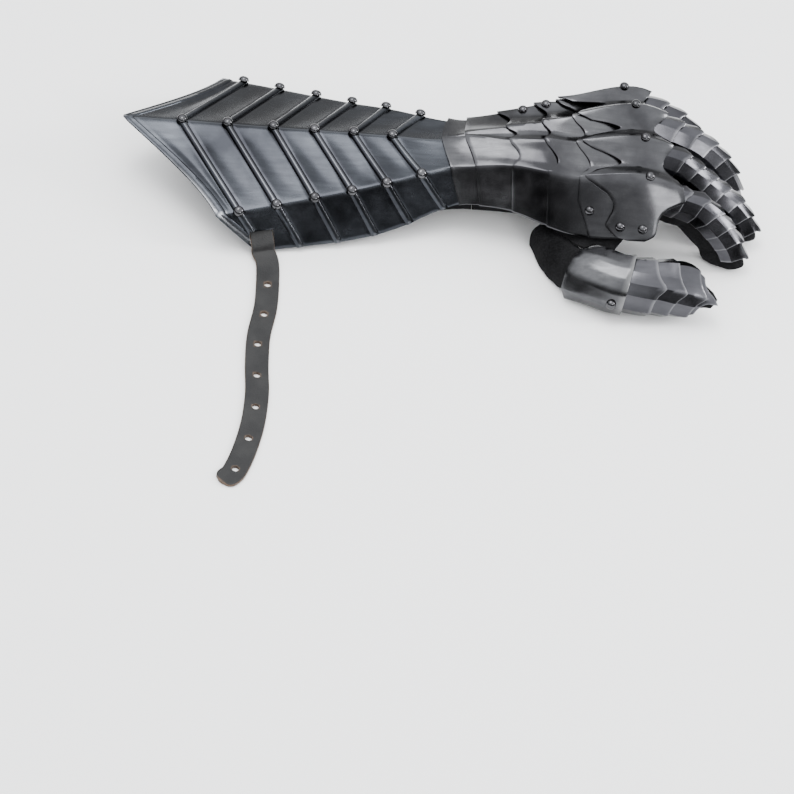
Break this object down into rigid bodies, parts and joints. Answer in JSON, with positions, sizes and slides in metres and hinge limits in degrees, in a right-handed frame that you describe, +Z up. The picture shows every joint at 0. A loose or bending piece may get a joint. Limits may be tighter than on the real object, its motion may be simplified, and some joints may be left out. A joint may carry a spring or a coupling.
{
  "type": "armoured gauntlet",
  "caption": "Left-hand plate gauntlet: a flared ribbed steel cuff, overlapping hand plates and pointed finger scales over a suede glove, with a forearm strap.",
  "frame": {"origin": "centre of the bounding box's base, on the surface that it rests on", "axes": "+X from the cuff's rim to the finger ends, +Y to the little-finger side, +Z up through the back of the hand"},
  "size_m": [0.4532, 0.371, 0.0922],
  "materials": {
    "buckle_chape": "black strap leather, semi-matt",
    "buckle_frame": "bright nickel plate",
    "buckle_tongue": "bright nickel plate",
    "cuff": "dark blued steel, satin",
    "forearm_strap": "black strap leather, semi-matt",
    "glove_hand": "black suede, matt nap",
    "glove_sleeve": "black suede, matt nap",
    "hand_lame_1": "dark blued steel, satin",
    "hand_lame_2": "dark blued steel, satin",
    "hand_lame_3": "dark blued steel, satin",
    "hand_lame_4": "dark blued steel, satin",
    "knuckle_plate": "dark blued steel, satin",
    "palm_strap": "black strap leather, semi-matt",
    "scale_index_1": "dark satin steel",
    "scale_index_2": "dark satin steel",
    "scale_index_3": "dark satin steel",
    "scale_index_4": "dark satin steel",
    "scale_index_5": "dark satin steel",
    "scale_index_6": "dark satin steel",
    "scale_little_1": "dark satin steel",
    "scale_little_2": "dark satin steel",
    "scale_little_3": "dark satin steel",
    "scale_little_4": "dark satin steel",
    "scale_little_5": "dark satin steel",
    "scale_little_6": "dark satin steel",
    "scale_middle_1": "dark satin steel",
    "scale_middle_2": "dark satin steel",
    "scale_middle_3": "dark satin steel",
    "scale_middle_4": "dark satin steel",
    "scale_middle_5": "dark satin steel",
    "scale_middle_6": "dark satin steel",
    "scale_middle_7": "dark satin steel",
    "scale_ring_1": "dark satin steel",
    "scale_ring_2": "dark satin steel",
    "scale_ring_3": "dark satin steel",
    "scale_ring_4": "dark satin steel",
    "scale_ring_5": "dark satin steel",
    "scale_ring_6": "dark satin steel",
    "scale_ring_7": "dark satin steel",
    "scale_thumb_1": "dark satin steel",
    "scale_thumb_2": "dark satin steel",
    "scale_thumb_3": "dark satin steel",
    "scale_thumb_4": "dark satin steel",
    "stall_index": "black suede, matt nap",
    "stall_little": "black suede, matt nap",
    "stall_middle": "black suede, matt nap",
    "stall_ring": "black suede, matt nap",
    "stall_thumb": "black suede, matt nap",
    "thumb_base_plate": "dark blued steel, satin",
    "wrist_lame": "dark blued steel, satin"
  },
  "bodies": {
    "root": {"buckle_chape": "buckle_chape", "buckle_frame": "buckle_frame", "buckle_tongue": "buckle_tongue", "cuff": "cuff", "forearm_strap": "forearm_strap", "glove_hand": "glove_hand", "glove_sleeve": "glove_sleeve", "hand_lame_1": "hand_lame_1", "hand_lame_2": "hand_lame_2", "hand_lame_3": "hand_lame_3", "hand_lame_4": "hand_lame_4", "knuckle_plate": "knuckle_plate", "palm_strap": "palm_strap", "scale_index_1": "scale_index_1", "scale_index_2": "scale_index_2", "scale_index_3": "scale_index_3", "scale_index_4": "scale_index_4", "scale_index_5": "scale_index_5", "scale_index_6": "scale_index_6", "scale_little_1": "scale_little_1", "scale_little_2": "scale_little_2", "scale_little_3": "scale_little_3", "scale_little_4": "scale_little_4", "scale_little_5": "scale_little_5", "scale_little_6": "scale_little_6", "scale_middle_1": "scale_middle_1", "scale_middle_2": "scale_middle_2", "scale_middle_3": "scale_middle_3", "scale_middle_4": "scale_middle_4", "scale_middle_5": "scale_middle_5", "scale_middle_6": "scale_middle_6", "scale_middle_7": "scale_middle_7", "scale_ring_1": "scale_ring_1", "scale_ring_2": "scale_ring_2", "scale_ring_3": "scale_ring_3", "scale_ring_4": "scale_ring_4", "scale_ring_5": "scale_ring_5", "scale_ring_6": "scale_ring_6", "scale_ring_7": "scale_ring_7", "scale_thumb_1": "scale_thumb_1", "scale_thumb_2": "scale_thumb_2", "scale_thumb_3": "scale_thumb_3", "scale_thumb_4": "scale_thumb_4", "stall_index": "stall_index", "stall_little": "stall_little", "stall_middle": "stall_middle", "stall_ring": "stall_ring", "stall_thumb": "stall_thumb", "thumb_base_plate": "thumb_base_plate", "wrist_lame": "wrist_lame"}
  },
  "joints": []
}
